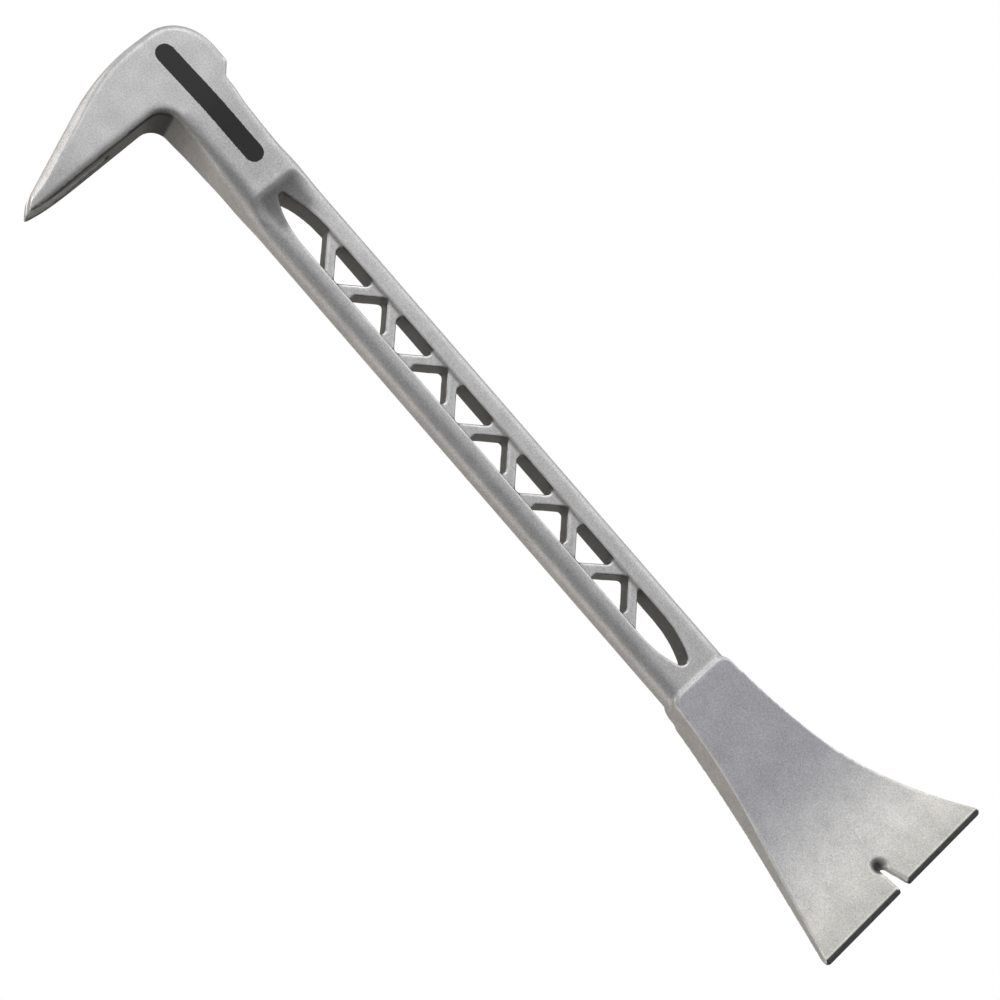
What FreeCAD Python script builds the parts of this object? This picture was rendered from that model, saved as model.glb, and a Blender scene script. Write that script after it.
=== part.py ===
"""A 12 inch titanium claw and trim bar, built as the named regions of its one-piece casting.

The bar lies on its side: X runs from the claw towards the blade's edge, +Y is the side of the
striking pad, the claw points to -Y, and the blade curls up to +Z. While it is built, the origin
is on the axis of the shank, at the middle of the web. The finished regions are then moved so
that the origin is at the middle of the bar's footprint, on the bench. Everything is in millimetres.
"""
import math
import os

import FreeCAD
import Part

Vector = FreeCAD.Vector
FAR = 200.0
TOUCH = 0.01
MARGIN = 1.0

# Shank: a flat-sided bar with fully rounded back and belly edges.
SHANK_HALF_HEIGHT = 11.05
SHANK_HALF_THICKNESS = 4.1
FULL_ROUND = 0.97
SHANK_START = -96.0
SHANK_END = 70.0

# Web: windows with one long side, two short upright sides and a round tip leave leaning struts.
WEB_HALF_HEIGHT = 4.4
WEB_HALF_THICKNESS = 3.15
STRUT_COUNT = 11
STRUT_PITCH = 12.4
FIRST_STRUT_X = -79.55
WINDOW_HALF_WIDTH = 6.4
WINDOW_SIDE = 2.0
WINDOW_TIP_RADIUS = 1.15
WINDOW_TIP_GAP = 0.4
WINDOW_CORNER = 1.0
RAIL_EDGE_ROUND = 0.5

# The long arched windows at the two ends of the web.
HEAD_ARCH_START = -85.8
HEAD_ARCH_RADIUS = 33.0
HEAD_ARCH_TIP = 1.2
BLADE_ARCH_START = 52.2
BLADE_ARCH_RADIUS = 32.0
BLADE_ARCH_TIP = 2.0
ARCH_REACH = 20.0

# Head: the block that carries the striking pad and the claw.
HEAD_HALF_THICKNESS = 8.4
HEAD_EDGE_ROUND = 2.2
HEAD_BACK_Y = 9.7
HEAD_BELLY_Y = -9.9
PAD_TOP_Y = 13.05
PAD_FRONT_X = -137.9
PAD_FRONT_ROUND = 1.2
PAD_SLOPE_X = -145.0
PAD_SLOPE = 14.0
PAD_SLOPE_RADIUS = 14.0
HEAD_CORNER_RADIUS = 12.5
OUTER_X = -156.7
INNER_X = -138.1
INNER_CORNER_RADIUS = 5.4
INNER_LEAN = 1.9
INNER_HOOK_Y = -45.0
INNER_HOOK = 1.0

# Claw: a wedge that narrows to two tines with a tapered nail slot between them.
CLAW_TOP_Y = -16.0
CLAW_BEND_Y = -3.5
CLAW_BEND_RADIUS = 70.0
CLAW_LEAN = 22.9
CLAW_TIP_Y = -57.4
CLAW_TAPER_Y = -36.0
CLAW_TIP_HALF_WIDTH = 4.9
CLAW_BEVEL = 2.4
CLAW_BEVEL_GROWTH = 14.0
CLAW_BEVEL_FLATNESS = 0.8
CLAW_EDGE_THICKNESS = 0.6
CLAW_STEPS = 5
CLAW_BEVEL_SHARE = 0.4
CLAW_INNER_SHARE = 0.3
CLAW_SLOT_ROOT_Y = -29.5
CLAW_SLOT_TIP_HALF_WIDTH = 2.3
CLAW_SLOT_ROOT_HALF_WIDTH = 0.6
CLAW_SLOT_CHAMFER = 1.3

# Neck: sections (x, back y, belly y, half thickness, corner radius) from the head to the shank.
NECK_START = INNER_X + INNER_CORNER_RADIUS
NECK_END = -104.5
NECK_SECTIONS = (
    (NECK_START, HEAD_BACK_Y, HEAD_BELLY_Y, HEAD_HALF_THICKNESS, HEAD_EDGE_ROUND),
    (-126.0, 9.27, -9.77, 8.0, 2.6),
    (-118.5, 9.57, -10.12, 7.3, 3.6),
    (-111.5, 10.0, -10.41, 6.8, 4.6),
    (NECK_END, 10.64, -10.74, 6.4, 5.0),
)
NECK_STEPS = 12

# Blade: a flared plate that thins and curls up to its cutting edge.
BLADE_START = 70.0
BLADE_FACE_START = 71.3
SHANK_STUB_END = 73.0
BLADE_TIP_X = 148.7
BLADE_HALF_THICKNESS = 4.7
BLADE_ROOT_HALF_WIDTH = 10.6
BLADE_ROOT_CORNER = 3.8
BLADE_WAIST_X = 91.0
BLADE_WAIST_HALF_WIDTH = 12.65
BLADE_FLARE_X = 110.0
BLADE_FLARE_HALF_WIDTH = 16.6
BLADE_WING_X = 130.0
BLADE_WING_HALF_WIDTH = 23.6
BLADE_TIP_HALF_WIDTH = 32.3
BLADE_TIP_CORNER = 1.1
BLADE_ROCKER_X = 88.0
BLADE_ROCKER_DROP = 5.4
BLADE_ROCKER_END = 108.0
BLADE_ROCKER_END_DROP = 3.3
BLADE_HOLLOW_X = 130.0
BLADE_HOLLOW_Z = 4.2
BLADE_CURL_START = 105.0
BLADE_CURL_RADIUS = 78.5
BLADE_BEVEL = 1.9
BLADE_EDGE_DROP = 2.6
BLADE_EDGE_THICKNESS = 0.7
BLADE_ROOT_END = 105.0
BLADE_BODY_END = 136.5

# Nail slot in the cutting edge, with a chamfer and a countersunk dimple on the face.
NAIL_SLOT_ROOT_X = 141.3
NAIL_SLOT_MOUTH_HALF_WIDTH = 2.1
NAIL_SLOT_ROOT_HALF_WIDTH = 0.95
NAIL_SLOT_CHAMFER = 0.6
NAIL_DIMPLE_X = 139.9
NAIL_DIMPLE_RADIUS = 2.5
NAIL_DIMPLE_DEPTH = 2.0
NAIL_DIMPLE_FLOOR = 0.2


def line(start, end):
    """A straight edge."""
    return Part.LineSegment(start, end).toShape()


def arc(start, middle, end):
    """A round edge through three points."""
    return Part.Arc(start, middle, end).toShape()


def prism(edges, direction):
    """The closed outline, pushed along a direction."""
    return Part.Face(Part.Wire(edges)).extrude(direction)


def rounded_edges(corners):
    """The edges of a closed outline, from (corner, radius) pairs. A radius of 0 leaves the corner sharp."""
    edges = []
    joints = []
    for index, (corner, radius) in enumerate(corners):
        back = (corners[index - 1][0] - corner).normalize()
        ahead = (corners[(index + 1) % len(corners)][0] - corner).normalize()
        if radius == 0:
            joints.append((corner, corner))
            continue
        half = back.getAngle(ahead) / 2
        inward = (back + ahead).normalize()
        middle = corner + inward * (radius / math.sin(half) - radius)
        arrive = corner + back * (radius / math.tan(half))
        leave = corner + ahead * (radius / math.tan(half))
        edges.append(arc(arrive, middle, leave))
        joints.append((arrive, leave))
    for index, (arrive, leave) in enumerate(joints):
        edges.append(line(joints[index - 1][1], arrive))
    return Part.__sortEdges__(edges)


def slab(low_x, high_x, low_y, high_y, low_z=-FAR, high_z=FAR):
    """A box that is used to cut a region out of the casting."""
    return Part.makeBox(high_x - low_x, high_y - low_y, high_z - low_z, Vector(low_x, low_y, low_z))


def bar_section(x, back_y, belly_y, half_thickness, radius):
    """A rounded rectangle across the bar."""
    corners = [(Vector(x, back_y, half_thickness), radius),
               (Vector(x, belly_y, half_thickness), radius),
               (Vector(x, belly_y, -half_thickness), radius),
               (Vector(x, back_y, -half_thickness), radius)]
    return Part.Wire(rounded_edges(corners))


def shank_body():
    """The tapering scooped start of the shank and its constant run up to the blade."""
    section = bar_section(SHANK_START, SHANK_HALF_HEIGHT, -SHANK_HALF_HEIGHT, SHANK_HALF_THICKNESS,
                          FULL_ROUND * SHANK_HALF_THICKNESS)
    taper = Part.makeLoft([bar_section(*NECK_SECTIONS[-1]), section], True, True)
    run = Part.Face(section).extrude(Vector(SHANK_END - SHANK_START, 0, 0))
    scoop_length = SHANK_START - NECK_END
    scoop_depth = NECK_SECTIONS[-1][3] - SHANK_HALF_THICKNESS
    radius = (scoop_length ** 2 + scoop_depth ** 2) / (2 * scoop_depth)
    for side in (1, -1):
        axis_z = side * (SHANK_HALF_THICKNESS + radius)
        scoop = Part.makeCylinder(radius, 2 * FAR, Vector(SHANK_START, -FAR, axis_z), Vector(0, 1, 0))
        taper = taper.cut(scoop)
    return taper.fuse(run)


def arch_edges(start_x, direction, radius, tip_radius):
    """Two side arcs that run from the rails to a small round tip, for the end of a long window."""
    side_y = WEB_HALF_HEIGHT - radius
    reach = math.sqrt((radius - tip_radius) ** 2 - side_y ** 2)
    tip_x = start_x + direction * reach
    lean = math.atan2(reach, -side_y)
    meet = Vector(start_x + direction * radius * math.sin(lean), side_y + radius * math.cos(lean), 0)
    half = Vector(start_x + direction * radius * math.sin(lean / 2), side_y + radius * math.cos(lean / 2), 0)
    start = Vector(start_x, WEB_HALF_HEIGHT, 0)
    tip = Vector(tip_x + direction * tip_radius, 0, 0)
    low_start, low_half, low_meet = [Vector(point.x, -point.y, 0) for point in (start, half, meet)]
    return [arc(start, half, meet), arc(meet, tip, low_meet), arc(low_meet, low_half, low_start)]


def window_side(index):
    """1 where the long side of a window lies on the back rail, -1 where it lies on the belly rail."""
    return 1 if index % 2 == 0 else -1


def window_centre_x(index):
    """The middle of the window between strut `index` and the next one."""
    return FIRST_STRUT_X + (index + 0.5) * STRUT_PITCH


def window_tangent():
    """Where the tip's arc starts: how far from the middle of a window, and how high above the rail."""
    rise = 2 * WEB_HALF_HEIGHT - WINDOW_SIDE - WINDOW_TIP_GAP - WINDOW_TIP_RADIUS
    reach = math.hypot(WINDOW_HALF_WIDTH, rise)
    turn = math.acos(WINDOW_TIP_RADIUS / reach) - math.atan2(rise, WINDOW_HALF_WIDTH)
    drop = WINDOW_TIP_RADIUS * (1.0 - math.sin(turn))
    return WINDOW_TIP_RADIUS * math.cos(turn), WINDOW_TIP_GAP + drop


def window_prism(index):
    """One window of the web, pushed through its whole depth, with rounded corners."""
    side = window_side(index)
    middle = window_centre_x(index)
    base_y = side * WEB_HALF_HEIGHT
    knee_y = side * (WEB_HALF_HEIGHT - WINDOW_SIDE)
    tangent_x, tangent_rise = window_tangent()
    tangent_y = side * (tangent_rise - WEB_HALF_HEIGHT)
    tip = Vector(middle, side * (WINDOW_TIP_GAP - WEB_HALF_HEIGHT), -FAR)
    right = [Vector(middle, base_y, -FAR), Vector(middle + WINDOW_HALF_WIDTH, base_y, -FAR),
             Vector(middle + WINDOW_HALF_WIDTH, knee_y, -FAR), Vector(middle + tangent_x, tangent_y, -FAR)]
    left = [Vector(2 * middle - point.x, point.y, -FAR) for point in right]
    edges = [arc(left[3], tip, right[3])]
    for outline in (left, right):
        for start, end in zip(outline, outline[1:]):
            edges.append(line(start, end))
    solid = prism(Part.__sortEdges__(edges), Vector(0, 0, 2 * FAR))
    corners = [edge for edge in upright_edges(solid, WINDOW_HALF_WIDTH)
               if abs(edge.BoundBox.Center.x - middle) > WINDOW_HALF_WIDTH - TOUCH]
    return solid.makeFillet(WINDOW_CORNER, corners)


def upright_edges(solid, reach):
    """The edges of a solid that run straight up."""
    return [edge for edge in solid.Edges if edge.BoundBox.ZLength > reach and edge.BoundBox.XLength < TOUCH]


def diagonal_x(index, direction, y):
    """Where the leaning side of a window stands at y, carried on to both rails."""
    side = window_side(index)
    tangent_x, tangent_rise = window_tangent()
    knee_height = 2 * WEB_HALF_HEIGHT - WINDOW_SIDE
    lean = (WINDOW_HALF_WIDTH - tangent_x) / (knee_height - tangent_rise)
    height = WEB_HALF_HEIGHT + side * y
    return window_centre_x(index) + direction * (tangent_x + lean * (height - tangent_rise))


def long_slot():
    """The whole opening between the rails, from one arched end to the other."""
    head_arch = arch_edges(HEAD_ARCH_START, -1, HEAD_ARCH_RADIUS, HEAD_ARCH_TIP)
    blade_arch = arch_edges(BLADE_ARCH_START, 1, BLADE_ARCH_RADIUS, BLADE_ARCH_TIP)
    back = line(Vector(HEAD_ARCH_START, WEB_HALF_HEIGHT, 0), Vector(BLADE_ARCH_START, WEB_HALF_HEIGHT, 0))
    belly = line(Vector(HEAD_ARCH_START, -WEB_HALF_HEIGHT, 0), Vector(BLADE_ARCH_START, -WEB_HALF_HEIGHT, 0))
    wire = Part.Wire(Part.__sortEdges__(head_arch + blade_arch + [back, belly]))
    wire.translate(Vector(0, 0, -FAR))
    return Part.Face(wire).extrude(Vector(0, 0, 2 * FAR))


def frame_body():
    """The shank with the long opening cut through it and the rims of the opening rounded."""
    body = shank_body().cut(long_slot())
    rims = []
    for edge in body.Edges:
        box = edge.BoundBox
        inside = max(abs(box.YMin), abs(box.YMax)) < WEB_HALF_HEIGHT + TOUCH
        one_side = box.ZMin > MARGIN or box.ZMax < -MARGIN
        if inside and one_side and box.XMin > HEAD_ARCH_START - ARCH_REACH and box.XMax < BLADE_ARCH_START + ARCH_REACH:
            if box.XLength > RAIL_EDGE_ROUND:
                rims.append(edge)
    return body.makeFillet(RAIL_EDGE_ROUND, rims)


def web_body():
    """All the struts as one body, before it is divided."""
    low = -WEB_HALF_THICKNESS
    ends = []
    for index, direction in ((-1, 1), (STRUT_COUNT - 1, -1)):
        for y in (WEB_HALF_HEIGHT, -WEB_HALF_HEIGHT):
            ends.append(Vector(diagonal_x(index, direction, y), y, low))
    corners = [ends[0], ends[1], ends[3], ends[2], ends[0]]
    web = Part.Face(Part.makePolygon(corners)).extrude(Vector(0, 0, 2 * WEB_HALF_THICKNESS))
    for index in range(STRUT_COUNT - 1):
        web = web.cut(window_prism(index))
    return web


def web_struts():
    """The struts, one solid each, from the head end to the blade end. They part at the windows' tips."""
    web = web_body()
    cuts = [-FAR] + [window_centre_x(index) for index in range(STRUT_COUNT - 1)] + [FAR]
    return [web.common(slab(low, high, -FAR, FAR)) for low, high in zip(cuts, cuts[1:])]


def neck_slope(index, column):
    """How fast one size of the neck changes at a driving section. It is level at both ends."""
    if index in (0, len(NECK_SECTIONS) - 1):
        return 0.0
    before = NECK_SECTIONS[index - 1]
    after = NECK_SECTIONS[index + 1]
    return (after[column] - before[column]) / (after[0] - before[0])


def neck_numbers(x):
    """The sizes of the neck at x, on a smooth curve through the driving sections."""
    index = max(i for i in range(len(NECK_SECTIONS) - 1) if NECK_SECTIONS[i][0] <= x)
    low = NECK_SECTIONS[index]
    high = NECK_SECTIONS[index + 1]
    span = high[0] - low[0]
    t = (x - low[0]) / span
    numbers = [x]
    for column in range(1, len(low)):
        start = low[column] * (1 + 2 * t) * (1 - t) ** 2 + neck_slope(index, column) * span * t * (1 - t) ** 2
        end = high[column] * t ** 2 * (3 - 2 * t) + neck_slope(index + 1, column) * span * t ** 2 * (t - 1)
        numbers.append(start + end)
    return numbers


def neck_body():
    """The swelling from the flat-sided shank to the thick head."""
    step = (NECK_END - NECK_START) / NECK_STEPS
    sections = [bar_section(*neck_numbers(NECK_START + step * index)) for index in range(NECK_STEPS + 1)]
    return Part.makeLoft(sections, True, True)


def claw_outer_x(y):
    """The outer side of the claw: upright at the bend, then an arc that runs into a straight slope."""
    lean = math.radians(CLAW_LEAN)
    drop = max(0.0, CLAW_BEND_Y - y)
    arc_drop = CLAW_BEND_RADIUS * math.sin(lean)
    if drop < arc_drop:
        return OUTER_X + CLAW_BEND_RADIUS - math.sqrt(CLAW_BEND_RADIUS ** 2 - drop ** 2)
    return OUTER_X + CLAW_BEND_RADIUS * (1.0 - math.cos(lean)) + (drop - arc_drop) * math.tan(lean)


def claw_inner_x(y):
    """The inner side of the claw: it leans a little towards the neck, and hooks back at the tip."""
    hook = max(0.0, (INNER_HOOK_Y - y) / (INNER_HOOK_Y - CLAW_TIP_Y))
    return INNER_X + (HEAD_BELLY_Y - y) * math.tan(math.radians(INNER_LEAN)) - INNER_HOOK * hook ** 2


def head_body():
    """The head from the neck to the top of the claw, with its raised pad, and its edges rounded."""
    low = -HEAD_HALF_THICKNESS
    rise = PAD_TOP_Y - HEAD_BACK_Y
    slope_drop = (PAD_SLOPE_X - OUTER_X) * math.tan(math.radians(PAD_SLOPE))
    bend_corner_y = CLAW_BEND_Y - CLAW_BEND_RADIUS * math.tan(math.radians(CLAW_LEAN / 2))
    corners = [(Vector(NECK_START, HEAD_BACK_Y, low), 0),
               (Vector(PAD_FRONT_X + rise, HEAD_BACK_Y, low), PAD_FRONT_ROUND),
               (Vector(PAD_FRONT_X, PAD_TOP_Y, low), PAD_FRONT_ROUND),
               (Vector(PAD_SLOPE_X, PAD_TOP_Y, low), PAD_SLOPE_RADIUS),
               (Vector(OUTER_X, PAD_TOP_Y - slope_drop, low), HEAD_CORNER_RADIUS),
               (Vector(OUTER_X, bend_corner_y, low), CLAW_BEND_RADIUS),
               (Vector(claw_outer_x(CLAW_TIP_Y), CLAW_TIP_Y, low), 0),
               (Vector(claw_inner_x(INNER_HOOK_Y), INNER_HOOK_Y, low), 0),
               (Vector(INNER_X, HEAD_BELLY_Y, low), INNER_CORNER_RADIUS),
               (Vector(NECK_START, HEAD_BELLY_Y, low), 0)]
    whole = prism(rounded_edges(corners), Vector(0, 0, 2 * HEAD_HALF_THICKNESS))
    block = whole.common(slab(-FAR, FAR, CLAW_TOP_Y, FAR))
    rims = []
    for edge in block.Edges:
        box = edge.BoundBox
        on_side = box.ZLength < TOUCH
        at_neck = box.XMin > NECK_START - TOUCH
        at_claw = box.YMax < CLAW_TOP_Y + TOUCH
        if on_side and not at_neck and not at_claw:
            rims.append(edge)
    return block.makeFillet(HEAD_EDGE_ROUND, rims)


def claw_section(y):
    """A level cut through the claw: bevelled on its outer side and rounded on its inner side."""
    outer_x = claw_outer_x(y)
    inner_x = claw_inner_x(y)
    depth = inner_x - outer_x
    taper = max(0.0, (CLAW_TAPER_Y - y) / (CLAW_TAPER_Y - CLAW_TIP_Y))
    half_width = HEAD_HALF_THICKNESS + (CLAW_TIP_HALF_WIDTH - HEAD_HALF_THICKNESS) * taper ** 2
    growth = min(1.0, (CLAW_TOP_Y - y) / CLAW_BEVEL_GROWTH)
    bevel = min(HEAD_EDGE_ROUND + (CLAW_BEVEL - HEAD_EDGE_ROUND) * growth, CLAW_BEVEL_SHARE * depth)
    bulge = bevel * (1.0 - math.sqrt(0.5)) + bevel * (math.sqrt(0.5) - 0.5) * growth * CLAW_BEVEL_FLATNESS
    inner = min(HEAD_EDGE_ROUND, CLAW_INNER_SHARE * depth)
    inner_bulge = inner * (1.0 - math.sqrt(0.5))
    high = [Vector(outer_x, y, half_width - bevel),
            Vector(outer_x + bulge, y, half_width - bulge),
            Vector(outer_x + bevel, y, half_width),
            Vector(inner_x - inner, y, half_width),
            Vector(inner_x - inner_bulge, y, half_width - inner_bulge),
            Vector(inner_x, y, half_width - inner)]
    low = [Vector(point.x, y, -point.z) for point in high]
    return Part.Wire([arc(high[0], high[1], high[2]),
                      line(high[2], high[3]),
                      arc(high[3], high[4], high[5]),
                      line(high[5], low[5]),
                      arc(low[5], low[4], low[3]),
                      line(low[3], low[2]),
                      arc(low[2], low[1], low[0]),
                      line(low[0], high[0])])


def claw_slot_outline(x, growth):
    """The outline of the claw's nail slot at x, grown all round by a chamfer."""
    root_y = CLAW_SLOT_ROOT_Y + growth
    end_y = CLAW_TIP_Y - MARGIN
    root = CLAW_SLOT_ROOT_HALF_WIDTH + growth
    mouth = CLAW_SLOT_TIP_HALF_WIDTH + growth
    return Part.makePolygon([Vector(x, root_y, -root), Vector(x, root_y, root), Vector(x, end_y, mouth),
                             Vector(x, end_y, -mouth), Vector(x, root_y, -root)])


def claw_body():
    """The claw from the bend to its tip, with the chamfered nail slot cut through it."""
    upper_step = (CLAW_TAPER_Y - CLAW_TOP_Y) / CLAW_STEPS
    lower_step = (CLAW_TIP_Y - CLAW_TAPER_Y) / CLAW_STEPS
    upper = [claw_section(CLAW_TOP_Y + upper_step * step) for step in range(CLAW_STEPS + 1)]
    lower = [claw_section(CLAW_TAPER_Y + lower_step * step) for step in range(CLAW_STEPS + 1)]
    claw = Part.makeLoft(upper, True, False).fuse(Part.makeLoft(lower, True, False))
    edge_x = claw_inner_x(CLAW_TIP_Y) - CLAW_EDGE_THICKNESS
    tip_bevel = Part.makePolygon([Vector(edge_x, CLAW_TIP_Y, -FAR), Vector(edge_x - FAR, CLAW_TIP_Y, -FAR),
                                  Vector(edge_x - FAR, CLAW_TIP_Y + FAR, -FAR), Vector(edge_x, CLAW_TIP_Y, -FAR)])
    claw = claw.cut(Part.Face(tip_bevel).extrude(Vector(0, 0, 2 * FAR)))
    slot = Part.Face(claw_slot_outline(-FAR, 0)).extrude(Vector(FAR, 0, 0))
    face_x = claw_inner_x(CLAW_TAPER_Y)
    chamfer = Part.makeLoft([claw_slot_outline(face_x - CLAW_SLOT_CHAMFER, 0),
                             claw_slot_outline(face_x + CLAW_SLOT_CHAMFER, 2 * CLAW_SLOT_CHAMFER)], True, True)
    return claw.cut(slot).cut(chamfer)


def blade_outline():
    """The flared outline of the blade, seen from above, pushed through its whole depth."""
    half = BLADE_ROOT_HALF_WIDTH
    tip = BLADE_TIP_HALF_WIDTH
    low = -FAR
    right = [arc(Vector(BLADE_START, half, low), Vector(BLADE_WAIST_X, BLADE_WAIST_HALF_WIDTH, low),
                 Vector(BLADE_FLARE_X, BLADE_FLARE_HALF_WIDTH, low)),
             arc(Vector(BLADE_FLARE_X, BLADE_FLARE_HALF_WIDTH, low),
                 Vector(BLADE_WING_X, BLADE_WING_HALF_WIDTH, low), Vector(BLADE_TIP_X, tip, low))]
    left = [edge.mirror(Vector(0, 0, 0), Vector(0, 1, 0)) for edge in right]
    ends = [line(Vector(BLADE_START, -half, low), Vector(BLADE_START, half, low)),
            line(Vector(BLADE_TIP_X, -tip, low), Vector(BLADE_TIP_X, tip, low))]
    solid = prism(Part.__sortEdges__(right + left + ends), Vector(0, 0, 2 * FAR))
    uprights = upright_edges(solid, FAR)
    tip_corners = [edge for edge in uprights if edge.BoundBox.XMin > BLADE_TIP_X - TOUCH]
    root_corners = [edge for edge in uprights if edge.BoundBox.XMax < BLADE_START + TOUCH]
    solid = solid.makeFillet(BLADE_TIP_CORNER, tip_corners)
    return solid.makeFillet(BLADE_ROOT_CORNER, root_corners)


def curl_height(x):
    """How high the face of the blade has curled at x."""
    return BLADE_CURL_RADIUS - math.sqrt(BLADE_CURL_RADIUS ** 2 - (x - BLADE_CURL_START) ** 2)


def blade_profile():
    """The blade seen from its side: a flat face that curls up, and a rockered back."""
    top = BLADE_HALF_THICKNESS
    face_end_x = BLADE_TIP_X - BLADE_BEVEL
    middle_x = (BLADE_CURL_START + face_end_x) / 2
    edge_low_z = top + curl_height(BLADE_TIP_X) - BLADE_EDGE_DROP
    face_start = Vector(BLADE_START, -FAR, top)
    curl_start = Vector(BLADE_CURL_START, -FAR, top)
    face_end = Vector(face_end_x, -FAR, top + curl_height(face_end_x))
    edge_high = Vector(BLADE_TIP_X, -FAR, edge_low_z + BLADE_EDGE_THICKNESS)
    edge_low = Vector(BLADE_TIP_X, -FAR, edge_low_z)
    rocker_end = Vector(BLADE_ROCKER_END, -FAR, -BLADE_ROCKER_END_DROP)
    back_start = Vector(BLADE_START, -FAR, -top)
    edges = [line(face_start, curl_start),
             arc(curl_start, Vector(middle_x, -FAR, top + curl_height(middle_x)), face_end),
             line(face_end, edge_high),
             line(edge_high, edge_low),
             arc(edge_low, Vector(BLADE_HOLLOW_X, -FAR, BLADE_HOLLOW_Z), rocker_end),
             arc(rocker_end, Vector(BLADE_ROCKER_X, -FAR, -BLADE_ROCKER_DROP), back_start),
             line(back_start, face_start)]
    return prism(edges, Vector(0, 2 * FAR, 0))


def raised_outline(start_x, z):
    """The rounded start of the blade's raised face, at one level."""
    half = BLADE_ROOT_HALF_WIDTH
    end_x = BLADE_START + 4 * BLADE_ROOT_CORNER
    corners = [(Vector(start_x, half, z), BLADE_ROOT_CORNER), (Vector(start_x, -half, z), BLADE_ROOT_CORNER),
               (Vector(end_x, -half, z), 0), (Vector(end_x, half, z), 0)]
    return Part.Wire(rounded_edges(corners))


def root_step(side):
    """What is cut away on one side of the blade's root, so that the raised face starts in a slope."""
    low = side * SHANK_HALF_THICKNESS
    high = side * BLADE_HALF_THICKNESS
    end = 2 * side * BLADE_HALF_THICKNESS
    slope = Part.makeLoft([raised_outline(BLADE_START, low), raised_outline(BLADE_FACE_START, high)], True, True)
    above = Part.Face(raised_outline(BLADE_FACE_START, high)).extrude(Vector(0, 0, end - high))
    around = slab(BLADE_START - MARGIN, BLADE_START + 2 * BLADE_ROOT_CORNER, -FAR, FAR, min(low, end), max(low, end))
    return around.cut(slope).cut(above)


def blade_notch():
    """The tapered nail slot in the cutting edge, with its chamfer and its countersunk dimple."""
    lean = math.asin((NAIL_DIMPLE_X - BLADE_CURL_START) / BLADE_CURL_RADIUS)
    out = Vector(-math.sin(lean), 0, math.cos(lean))
    along = Vector(math.cos(lean), 0, math.sin(lean))
    face = Vector(NAIL_DIMPLE_X, 0, BLADE_HALF_THICKNESS + curl_height(NAIL_DIMPLE_X))
    slot = Part.Face(notch_outline(0, -FAR)).extrude(Vector(0, 0, 2 * FAR))
    dimple = Part.makeCone(NAIL_DIMPLE_FLOOR, 2 * NAIL_DIMPLE_RADIUS, 2 * NAIL_DIMPLE_DEPTH, face - out * NAIL_DIMPLE_DEPTH, out)
    chamfer = Part.makeLoft([notch_outline(0, -NAIL_SLOT_CHAMFER),
                             notch_outline(2 * NAIL_SLOT_CHAMFER, NAIL_SLOT_CHAMFER)], True, True)
    end_x = BLADE_TIP_X - BLADE_BEVEL
    end_z = BLADE_HALF_THICKNESS + curl_height(end_x)
    face_lean = math.atan2(end_z - face.z, end_x - face.x)
    chamfer.translate(Vector(-NAIL_DIMPLE_X, 0, 0))
    chamfer.rotate(Vector(0, 0, 0), Vector(0, 1, 0), -math.degrees(face_lean))
    chamfer.translate(face)
    return slot.fuse([dimple, chamfer])


def notch_outline(growth, z):
    """The outline of the blade's nail slot at one level, grown all round by a chamfer."""
    mouth_x = BLADE_TIP_X + 4 * MARGIN
    root = NAIL_SLOT_ROOT_HALF_WIDTH + growth
    mouth = NAIL_SLOT_MOUTH_HALF_WIDTH + growth
    centre_x = NAIL_SLOT_ROOT_X + NAIL_SLOT_ROOT_HALF_WIDTH
    return Part.Wire([line(Vector(centre_x, root, z), Vector(mouth_x, mouth, z)),
                      line(Vector(mouth_x, mouth, z), Vector(mouth_x, -mouth, z)),
                      line(Vector(mouth_x, -mouth, z), Vector(centre_x, -root, z)),
                      arc(Vector(centre_x, -root, z), Vector(centre_x - root, 0, z), Vector(centre_x, root, z))])


def blade_body():
    """The whole blade, before it is divided, with the end of the shank inside its root."""
    blade = blade_outline().common(blade_profile())
    blade = blade.cut([root_step(1), root_step(-1), blade_notch()])
    section = bar_section(SHANK_END, SHANK_HALF_HEIGHT, -SHANK_HALF_HEIGHT, SHANK_HALF_THICKNESS,
                          FULL_ROUND * SHANK_HALF_THICKNESS)
    stub = Part.Face(section).extrude(Vector(SHANK_STUB_END - SHANK_END, 0, 0))
    return blade.fuse(stub)


def regions():
    """Every named region of the casting, as a table of node names and solids."""
    frame = frame_body()
    head = head_body()
    claw = claw_body()
    blade = blade_body()
    table = {}
    table["striking_pad"] = head.common(slab(-FAR, NECK_START, HEAD_BACK_Y, FAR))
    table["head_block"] = head.common(slab(-FAR, NECK_START, -FAR, HEAD_BACK_Y))
    table["claw_arm"] = claw.common(slab(-FAR, FAR, CLAW_SLOT_ROOT_Y, FAR))
    table["claw_tine_left"] = claw.common(slab(-FAR, FAR, -FAR, CLAW_SLOT_ROOT_Y, 0, FAR))
    table["claw_tine_right"] = claw.common(slab(-FAR, FAR, -FAR, CLAW_SLOT_ROOT_Y, -FAR, 0))
    table["neck"] = neck_body()
    table["head_bridge"] = frame.common(slab(NECK_END, HEAD_ARCH_START, -FAR, FAR))
    table["back_rail"] = frame.common(slab(HEAD_ARCH_START, BLADE_ARCH_START, 0, FAR))
    table["belly_rail"] = frame.common(slab(HEAD_ARCH_START, BLADE_ARCH_START, -FAR, 0))
    table["blade_bridge"] = frame.common(slab(BLADE_ARCH_START, SHANK_END, -FAR, FAR))
    for index, strut in enumerate(web_struts()):
        table["web_strut_%02d" % (index + 1)] = strut
    table["blade_root"] = blade.common(slab(BLADE_START, BLADE_ROOT_END, -FAR, FAR))
    table["blade_body"] = blade.common(slab(BLADE_ROOT_END, BLADE_BODY_END, -FAR, FAR))
    table["blade_edge_left"] = blade.common(slab(BLADE_BODY_END, FAR, 0, FAR))
    table["blade_edge_right"] = blade.common(slab(BLADE_BODY_END, FAR, -FAR, 0))
    return table


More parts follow.
